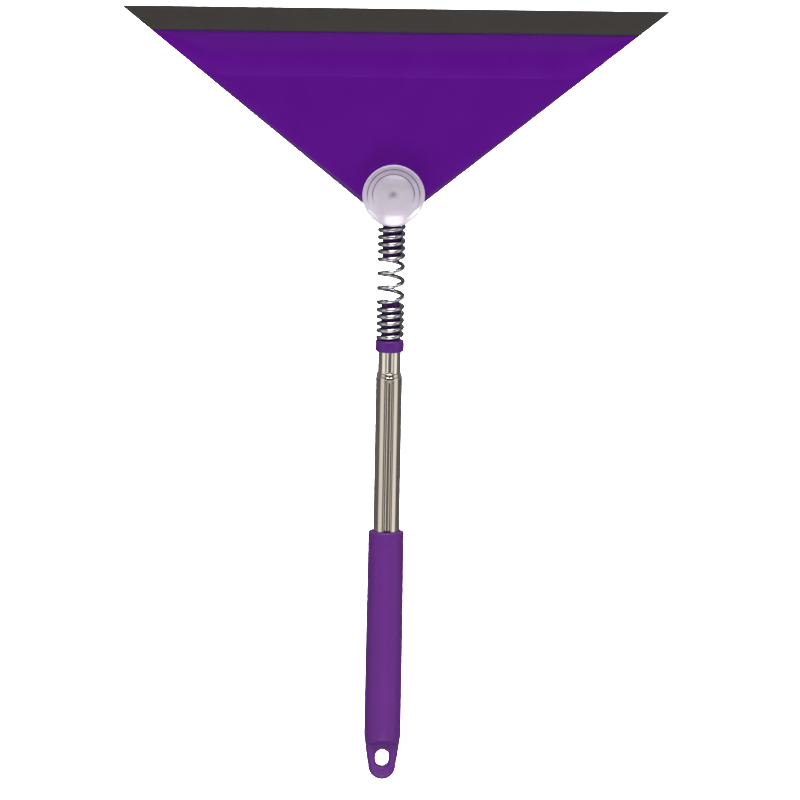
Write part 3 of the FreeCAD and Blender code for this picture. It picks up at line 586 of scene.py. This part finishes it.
spring_chrome, tree, shader = new_finish("spring_chrome")
marks = use_effect(tree, moulded_grain, Fineness=0.35)
bright_plate = blend_colours(tree, marks["Cloud"], (0.52, 0.52, 0.53), (0.64, 0.64, 0.65))
# Painted shade: the wire's colour turns dark grey towards its outline, where the wire turns away from the
# camera.
slant = put(tree, "LayerWeight", {"Blend": 0.5}).outputs["Facing"]
edge = put(tree, "MapRange", {"Value": slant, "From Min": 0.14, "From Max": 0.46}).outputs[0]
plate_with_painted_outline_shade = put(tree, "Mix", data_type="RGBA")
tree.links.new(edge, plate_with_painted_outline_shade.inputs[0])
tree.links.new(bright_plate, plate_with_painted_outline_shade.inputs[6])
plate_with_painted_outline_shade.inputs[7].default_value = (0.19, 0.19, 0.20, 1)
tree.links.new(plate_with_painted_outline_shade.outputs[2], shader.inputs["Base Color"])
tree.links.new(blend_numbers(tree, marks["Grain"], 0.18, 0.28), shader.inputs["Roughness"])
raise_surface(tree, shader, marks["Grain"], 0.02, 0.00002)
shader.inputs["Metallic"].default_value = 1.0

total_turns = sum(count for count, _ in runs)
middle_turn = runs[0][0] + runs[1][0] / 2
open_low = Vector((0, 0, coil_level(runs[0][0])))
open_middle = Vector((0, 0, coil_level(middle_turn)))
open_high = Vector((0, 0, coil_level(runs[0][0] + runs[1][0])))
lower_coils = wire_run("spring_lower_half", 0.0, middle_turn, spring_chrome)
upper_coils = wire_run("spring_upper_half", middle_turn, total_turns, spring_chrome)
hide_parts("coil_spring")
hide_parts("coil_spring")
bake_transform(lower_coils)
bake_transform(upper_coils)


# ---------------------------------------------------------------- head shell
# The squeegee's head: a gloss moulding in flexible plastic, thick at the apex
# for the neck's tenon and thin along the blade. A shallow trough runs under the
# blade, its sides are rounded, and its back is cored out between three ribs.

shell_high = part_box("head_shell")[1]
blade_low, blade_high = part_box("wiper_blade")
head_rise = blade_low[2] - apex_level
apex_half = 9.0 * mm
shell_half = shell_high[0]
apex_thick = shell_high[1] * 2
top_thick = 4.0 * mm
apex_corner = 7.5 * mm
top_corner = 1.2 * mm
crease_rise = 101.4 * mm
trough_radius = 75.0 * mm
trough_lean = math.radians(16)
rim_land = 9.0 * mm


def along_head(rise, low, high):
    """A size that runs evenly from the apex to the blade."""
    return low + (high - low) * rise / head_rise


crease_face = -along_head(crease_rise, apex_thick, top_thick) / 2
trough_y = crease_face - trough_radius * math.cos(trough_lean)
trough_z = crease_rise + trough_radius * math.sin(trough_lean)


def trough_face(rise):
    """How far back the trough's face lies at a height above the apex."""
    if rise <= crease_rise:
        return -math.inf
    return trough_y + math.sqrt(trough_radius**2 - (rise - trough_z) ** 2)


def head_ring(rise):
    """One level round of the head: a flat rounded box, with the trough let in its front."""
    half = along_head(rise, apex_half, shell_half)
    deep = along_head(rise, apex_thick, top_thick) / 2
    corner = along_head(rise, apex_corner, top_corner)
    ring = []
    across = 28
    for k in range(across + 1):
        ring.append(((half - corner) * (2 * k / across - 1), -deep))
    for centre_y, first in ((corner - deep, -90), (deep - corner, 0)):
        for k in range(1, 12):
            angle = math.radians(first + 90 * k / 12)
            ring.append((half - corner + corner * math.cos(angle), centre_y + corner * math.sin(angle)))
        if first < 0:
            ring.append((half, centre_y))
    for k in range(across + 1):
        ring.append(((half - corner) * (1 - 2 * k / across), deep))
    for centre_y, first in ((deep - corner, 90), (corner - deep, 180)):
        for k in range(1, 12):
            angle = math.radians(first + 90 * k / 12)
            ring.append((corner - half + corner * math.cos(angle), centre_y + corner * math.sin(angle)))
        if first < 180:
            ring.append((-half, centre_y))
    face = trough_face(rise)
    shaped = []
    for x, y in ring:
        if y < 0 and face > y:
            land = min(max((half - abs(x)) / rim_land, 0.0), 1.0)
            land = land * land * (3 - 2 * land)
            y += (face - y) * land
        shaped.append((x, y, apex_level + rise))
    return shaped


rises = [head_rise * k / 60 for k in range(61)]
rises = sorted({r for r in rises if abs(r - crease_rise) > 0.8 * mm} | {crease_rise, crease_rise + 0.25 * mm})
rings = [head_ring(rise) for rise in rises]

head_purple, tree, shader = new_finish("head_gloss_purple")
marks = use_effect(tree, moulded_grain, Fineness=0.2)
tint = blend_colours(tree, marks["Cloud"], (0.084, 0.0026, 0.200), (0.096, 0.0034, 0.224))
worn = use_effect(tree, worn_edges, Start=0.55, Full=0.7)
rim = put(tree, "Mix", data_type="RGBA")
tree.links.new(worn["Mask"], rim.inputs[0])
tree.links.new(tint, rim.inputs[6])
rim.inputs[7].default_value = (0.16, 0.05, 0.28, 1)
tree.links.new(rim.outputs[2], shader.inputs["Base Color"])
tree.links.new(blend_numbers(tree, marks["Cloud"], 0.17, 0.26), shader.inputs["Roughness"])
raise_surface(tree, shader, marks["Cloud"], 0.05, 0.0004)
shader.inputs["IOR"].default_value = 1.49

head_shell = new_piece(
    "head_shell_moulding", *skin(rings, cap_start=True, cap_end=True), head_purple, crease=50
)

# the four bays cored out of the back, between the rim walls and three ribs
bay_foot = 27.0 * mm
bay_head = crease_rise - 6.0 * mm
front_skin = 3.0 * mm
rim_wall = 4.5 * mm
rib_half = 1.2 * mm
rib_lean = math.tan(math.radians(27))
rib_width = rib_half / math.cos(math.radians(27))


def rim_line(rise):
    """Half the width between the rim walls at a height above the apex."""
    return along_head(rise, apex_half, shell_half) - rim_wall


bays = bmesh.new()
for side in (-1, 1):
    for inner, outer in (
        (lambda rise: rib_half, lambda rise: rise * rib_lean - rib_width),
        (lambda rise: rise * rib_lean + rib_width, rim_line),
    ):
        corners = []
        for rise, line in ((bay_foot, inner), (bay_foot, outer), (bay_head, outer), (bay_head, inner)):
            corners.append((side * line(rise), rise))
        floor, roof = [], []
        for x, rise in corners:
            deep = along_head(rise, apex_thick, top_thick) / 2
            floor.append(bays.verts.new((x, front_skin - deep, apex_level + rise)))
            roof.append(bays.verts.new((x, deep + 4 * mm, apex_level + rise)))
        bays.faces.new(floor)
        bays.faces.new(roof[::-1])
        for k in range(4):
            after = (k + 1) % 4
            bays.faces.new((floor[k], roof[k], roof[after], floor[after]))
bmesh.ops.recalc_face_normals(bays, faces=bays.faces)
uprights = [e for e in bays.edges if abs(e.verts[0].co.y - e.verts[1].co.y) > 3 * mm]
floors = [e for e in bays.edges if max(v.co.y for v in e.verts) < 1 * mm and e not in uprights]
bmesh.ops.bevel(bays, geom=uprights + floors, offset=1.0 * mm, segments=3, profile=0.5, affect="EDGES")
cutter_mesh = bpy.data.meshes.new("bay_cutter")
bays.to_mesh(cutter_mesh)
bays.free()
bay_cutter = bpy.data.objects.new("bay_cutter", cutter_mesh)
bpy.context.collection.objects.link(bay_cutter)
carve(head_shell, bay_cutter, crease=30)

# the screw's counterbore at the back
screw_low, screw_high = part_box("neck_screw")
screw_level = (screw_low[2] + screw_high[2]) / 2
turn = [2 * math.pi * k / 40 for k in range(40)]
sink = 3.25 * mm
rings = []
for depth in (screw_high[1] - 1.6 * mm, screw_high[1] + 4 * mm):
    rings.append([(sink * math.cos(a), depth, screw_level + sink * math.sin(a)) for a in turn])
carve(head_shell, new_piece("screw_cutter", *skin(rings, cap_start=True, cap_end=True), head_purple), crease=30)
stands_for(head_shell, "head_shell", "head")


# --------------------------------------------------------------- wiper blade
# The wiping strip: soft dark grey rubber moulded over the shell's tongue, its
# ends cut in line with the shell's sides. It tapers to the wiping edge.

blade_root_half = shell_half
blade_tip_half = blade_high[0]
blade_rise = blade_high[2] - blade_low[2]
root_deep = 2.5 * mm
edge_deep = 0.7 * mm
blade_round = 0.55 * mm


def blade_section():
    """The strip's section: depth and rise pairs, rounded at the root."""
    pairs = []
    for sign in (-1, 1):
        side = []
        for k in range(5):
            angle = math.radians(90 * k / 4)
            side.append((root_deep - blade_round * (1 - math.sin(angle)), blade_round * (1 - math.cos(angle))))
        for k in range(1, 9):
            up = k / 9
            deep = root_deep + (edge_deep - root_deep) * up**0.9
            side.append((deep, blade_rise * up))
        side.append((edge_deep, blade_rise - 0.25 * mm))
        side.append((edge_deep - 0.3 * mm, blade_rise))
        pairs.append([(sign * d, r) for d, r in side])
    return pairs[0] + pairs[1][::-1]


rings = []
across = 90
for k in range(across + 1):
    share = 2 * k / across - 1
    ring = []
    for deep, rise in blade_section():
        reach = blade_root_half + (blade_tip_half - blade_root_half) * rise / blade_rise
        if abs(share) == 1.0:
            reach -= 0.35 * mm * (abs(deep) / root_deep) ** 2
        ring.append((share * reach, deep, blade_low[2] + rise))
    rings.append(ring)

blade_rubber, tree, shader = new_finish("blade_grey_rubber")
marks = use_effect(tree, moulded_grain, Fineness=0.8)
tree.links.new(
    blend_colours(tree, marks["Cloud"], (0.030, 0.0265, 0.0240), (0.038, 0.034, 0.031)),
    shader.inputs["Base Color"],
)
tree.links.new(blend_numbers(tree, marks["Grain"], 0.42, 0.58), shader.inputs["Roughness"])
raise_surface(tree, shader, marks["Grain"], 0.12, 0.00004)
shader.inputs["Specular IOR Level"].default_value = 0.3
wiper_blade = new_piece(
    "wiper_blade_rubber", *skin(rings, cap_start=True, cap_end=True), blade_rubber, crease=35
)
stands_for(wiper_blade, "wiper_blade", "head")


# --------------------------------------------------------------- suction cup
# The cup that parks the squeegee on the glass: clear soft vinyl, moulded in one
# with a thin lip, a thick hub and a bulb that snaps in the head's apex.

cup_low, cup_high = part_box("suction_cup")
cup_level = (cup_low[2] + cup_high[2]) / 2
cup_radius = cup_high[0]
cup_front = cup_low[1]
seat = cup_high[1] - 7.4 * mm
hub_back = seat - 0.45 * mm
cup_profile = [
    (seat + 7.4 * mm, 0.4 * mm),
    (seat + 7.2 * mm, 2.3 * mm),
    (seat + 6.6 * mm, 3.3 * mm),
    (seat + 4.2 * mm, 4.6 * mm),
    (seat + 3.6 * mm, 4.5 * mm),
    (seat + 3.4 * mm, 3.6 * mm),
    (seat + 3.1 * mm, 3.3 * mm),
    (hub_back + 0.2 * mm, 3.3 * mm),
    (hub_back, 3.8 * mm),
    (hub_back - 0.1 * mm, 6.4 * mm),
    (hub_back - 0.5 * mm, 7.0 * mm),
    (hub_back - 1.4 * mm, 7.3 * mm),
]
back_from = Vector((hub_back - 2.2 * mm, 8.2 * mm))
back_to = Vector((cup_front + 1.1 * mm, cup_radius - 0.5 * mm))
ring_radii = (14.7 * mm, 18.6 * mm)
for k in range(61):
    share = k / 60
    bow = 1.0 * mm * math.sin(math.pi * share)
    spot = back_from.lerp(back_to, share)
    radius = spot.y + bow * 0.5
    # the vinyl thins in two steps towards the lip
    steps = [0.5 - 0.5 * math.tanh((radius - ring) / (0.22 * mm)) for ring in ring_radii]
    cup_profile.append((spot.x + bow * 0.9 - 0.55 * mm * (2 - sum(steps)) + 0.55 * mm, radius))
cup_profile += [
    (cup_front + 0.9 * mm, cup_radius - 0.05 * mm),
    (cup_front + 0.45 * mm, cup_radius),
    (cup_front + 0.1 * mm, cup_radius - 0.2 * mm),
    (cup_front, cup_radius - 0.5 * mm),
    (cup_front + 0.05 * mm, cup_radius - 1.1 * mm),
    (cup_front + 0.5 * mm, cup_radius - 1.7 * mm),
]
inner_from = Vector((cup_front + 0.9 * mm, cup_radius - 2.4 * mm))
inner_to = Vector((hub_back - 4.5 * mm, 6.0 * mm))
for k in range(9):
    share = k / 8
    bow = 1.1 * mm * math.sin(math.pi * share)
    spot = inner_from.lerp(inner_to, share)
    cup_profile.append((spot.x + bow * 0.9, spot.y + bow * 0.5))
cup_profile += [
    (hub_back - 4.3 * mm, 4.8 * mm),
    (hub_back - 4.4 * mm, 3.6 * mm),
    (hub_back - 4.9 * mm, 2.6 * mm),
    (hub_back - 5.1 * mm, 0.4 * mm),
]
rings = []
for depth, radius in cup_profile:
    turn = [2 * math.pi * k / 128 for k in range(128)]
    rings.append([(radius * math.cos(a), depth, cup_level + radius * math.sin(a)) for a in turn])

cup_vinyl, tree, shader = new_finish("cup_clear_vinyl")
marks = use_effect(tree, moulded_grain, Fineness=0.15)
clear = blend_colours(tree, marks["Cloud"], (0.95, 0.88, 0.97), (1.0, 0.96, 1.0))
spot = put(tree, "SeparateXYZ", {"Vector": put(tree, "TexCoord").outputs["Object"]}).outputs
height = put(tree, "Math", {0: spot[2], 1: cup_level}, operation="SUBTRACT").outputs[0]
flat = put(tree, "CombineXYZ", {"X": spot[0], "Z": height}).outputs[0]
off_axis = put(tree, "VectorMath", {0: flat}, operation="LENGTH").outputs["Value"]
# Painted shade: dark rings over the vinyl's two steps and a dark patch over the hub, painted into the colour
# and faded out below the cup's middle.
shade = None
for ring, half_width, depth in ((0.0, 3.6, 0.55), (14.9, 0.8, 0.85), (18.7, 0.8, 0.85)):
    off = put(tree, "Math", {0: off_axis, 1: ring * mm}, operation="SUBTRACT").outputs[0]
    off = put(tree, "Math", {0: off}, operation="ABSOLUTE").outputs[0]
    band = put(
        tree,
        "MapRange",
        {"Value": off, "From Max": half_width * mm, "To Min": depth, "To Max": 0.0},
        interpolation_type="SMOOTHSTEP",
    ).outputs[0]
    shade = put(tree, "Math", {0: shade, 1: band}, operation="MAXIMUM").outputs[0] if shade else band
upper = put(tree, "MapRange", {"Value": height, "From Min": -7 * mm, "From Max": 1 * mm}).outputs[0]
shade = put(tree, "Math", {0: shade, 1: upper}, operation="MULTIPLY").outputs[0]
# mixes the painted shade into the clear vinyl's colour
deep = put(tree, "Mix", data_type="RGBA")
tree.links.new(shade, deep.inputs[0])
tree.links.new(clear, deep.inputs[6])
deep.inputs[7].default_value = (0.20, 0.13, 0.28, 1)
tree.links.new(deep.outputs[2], shader.inputs["Base Color"])
tree.links.new(blend_numbers(tree, marks["Cloud"], 0.05, 0.14), shader.inputs["Roughness"])
raise_surface(tree, shader, marks["Cloud"], 0.06, 0.0003)
shader.inputs["Transmission Weight"].default_value = 0.58
shader.inputs["IOR"].default_value = 1.45
suction_cup = new_piece("suction_cup_vinyl", *skin(rings, cap_start=True, cap_end=True), cup_vinyl, crease=80)
stands_for(suction_cup, "suction_cup", "head")


# ---------------------------------------------------------------- neck screw
# The self-tapping screw through the head's back into the tenon: zinc-plated
# steel with a cross recess. Its CAD shape is right and stays.

screw_zinc, tree, shader = new_finish("screw_zinc")
marks = use_effect(tree, moulded_grain, Fineness=0.5)
tree.links.new(
    blend_colours(tree, marks["Cloud"], (0.50, 0.50, 0.48), (0.64, 0.64, 0.62)), shader.inputs["Base Color"]
)
tree.links.new(blend_numbers(tree, marks["Grain"], 0.22, 0.38), shader.inputs["Roughness"])
shader.inputs["Metallic"].default_value = 1.0
nodes["neck_screw"].data.materials.clear()
nodes["neck_screw"].data.materials.append(screw_zinc)


# -------------------------------------------------------------------- studio
# The squeegee hangs well above a wide pale floor. A big soft light stands above the
# front, a low one below it, and two tall ones at the sides for the steel to mirror.

floor_paint, tree, shader = new_finish("floor_paint")
fibres = use_effect(tree, moulded_grain, Fineness=0.3)
tree.links.new(
    blend_colours(tree, fibres["Cloud"], (0.86, 0.86, 0.86), (0.90, 0.90, 0.90)), shader.inputs["Base Color"]
)
raise_surface(tree, shader, fibres["Grain"], 0.02, 0.0001)
shader.inputs["Roughness"].default_value = 0.9
shader.inputs["Specular IOR Level"].default_value = 0.1
floor_level = grip_low[2] - 0.95
reach = 14.0
points = [(x * reach, y * reach, floor_level) for x, y in ((-1, -1), (1, -1), (1, 1), (-1, 1))]
floor = new_piece("floor", points, [(0, 1, 2, 3)], floor_paint)


def soft_light(name, place, aim, width, height, power, spread):
    """A soft rectangular light at a place, turned to shine at its aim."""
    lamp = bpy.data.lights.new(name, "AREA")
    lamp.shape = "RECTANGLE"
    lamp.size = width
    lamp.size_y = height
    lamp.energy = power
    lamp.spread = math.radians(spread)
    holder = bpy.data.objects.new(name, lamp)
    holder.location = place
    holder.rotation_euler = (Vector(aim) - Vector(place)).to_track_quat("-Z", "Y").to_euler()
    bpy.context.collection.objects.link(holder)
    return holder


middle = (0.0, 0.0, 0.20)
soft_light("over_front", (0.0, -1.45, 2.5), middle, 2.0, 1.5, 19, spread=76)
soft_light("under_front", (0.0, -0.95, -0.70), (0.0, 0.0, 0.02), 1.3, 0.45, 1.3, spread=56)
soft_light("left_tall", (-1.35, -0.78, 0.20), (0.0, 0.0, 0.20), 1.1, 2.2, 2.1, spread=100)
soft_light("right_tall", (1.35, -0.78, 0.20), (0.0, 0.0, 0.20), 1.1, 2.2, 2.35, spread=100)
soft_light("behind", (0.0, 7.2, 2.2), (0.0, 7.2, 0.0), 2.2, 6.0, 420, spread=60)

world = bpy.data.worlds.new("studio_air")
world.use_nodes = True
air = world.node_tree
way = put(air, "SeparateXYZ", {"Vector": put(air, "TexCoord").outputs["Generated"]}).outputs[1]
glow = put(air, "MapRange", {"Value": way, "From Min": -0.6, "From Max": 0.4, "To Min": 0.03, "To Max": 0.30})
air.links.new(glow.outputs[0], air.nodes["Background"].inputs["Strength"])
air.nodes["Background"].inputs["Color"].default_value = (0.97, 0.97, 1.0, 1)
bpy.context.scene.world = world
bpy.context.scene.view_settings.view_transform = "Standard"

# The camera stands far off, looks a little down on the pole, and leans with it.
distance = 20.0
rise = math.radians(10)
aside = math.radians(2.5)
seen_height = 0.571
centre = Vector((0.0081, 0.0, 0.2124))
lens = bpy.data.cameras.new("camera")
lens.sensor_width = 36.0
lens.lens = 36.0 * distance / seen_height
eye = bpy.data.objects.new("camera", lens)
away = Vector((-math.sin(aside) * math.cos(rise), -math.cos(aside) * math.cos(rise), math.sin(rise)))
eye.location = centre + distance * away
eye.rotation_euler = (-away).to_track_quat("-Z", "Y").to_euler()
eye.rotation_euler.rotate_axis("Z", math.radians(1.1))
bpy.context.collection.objects.link(eye)
bpy.context.scene.camera = eye
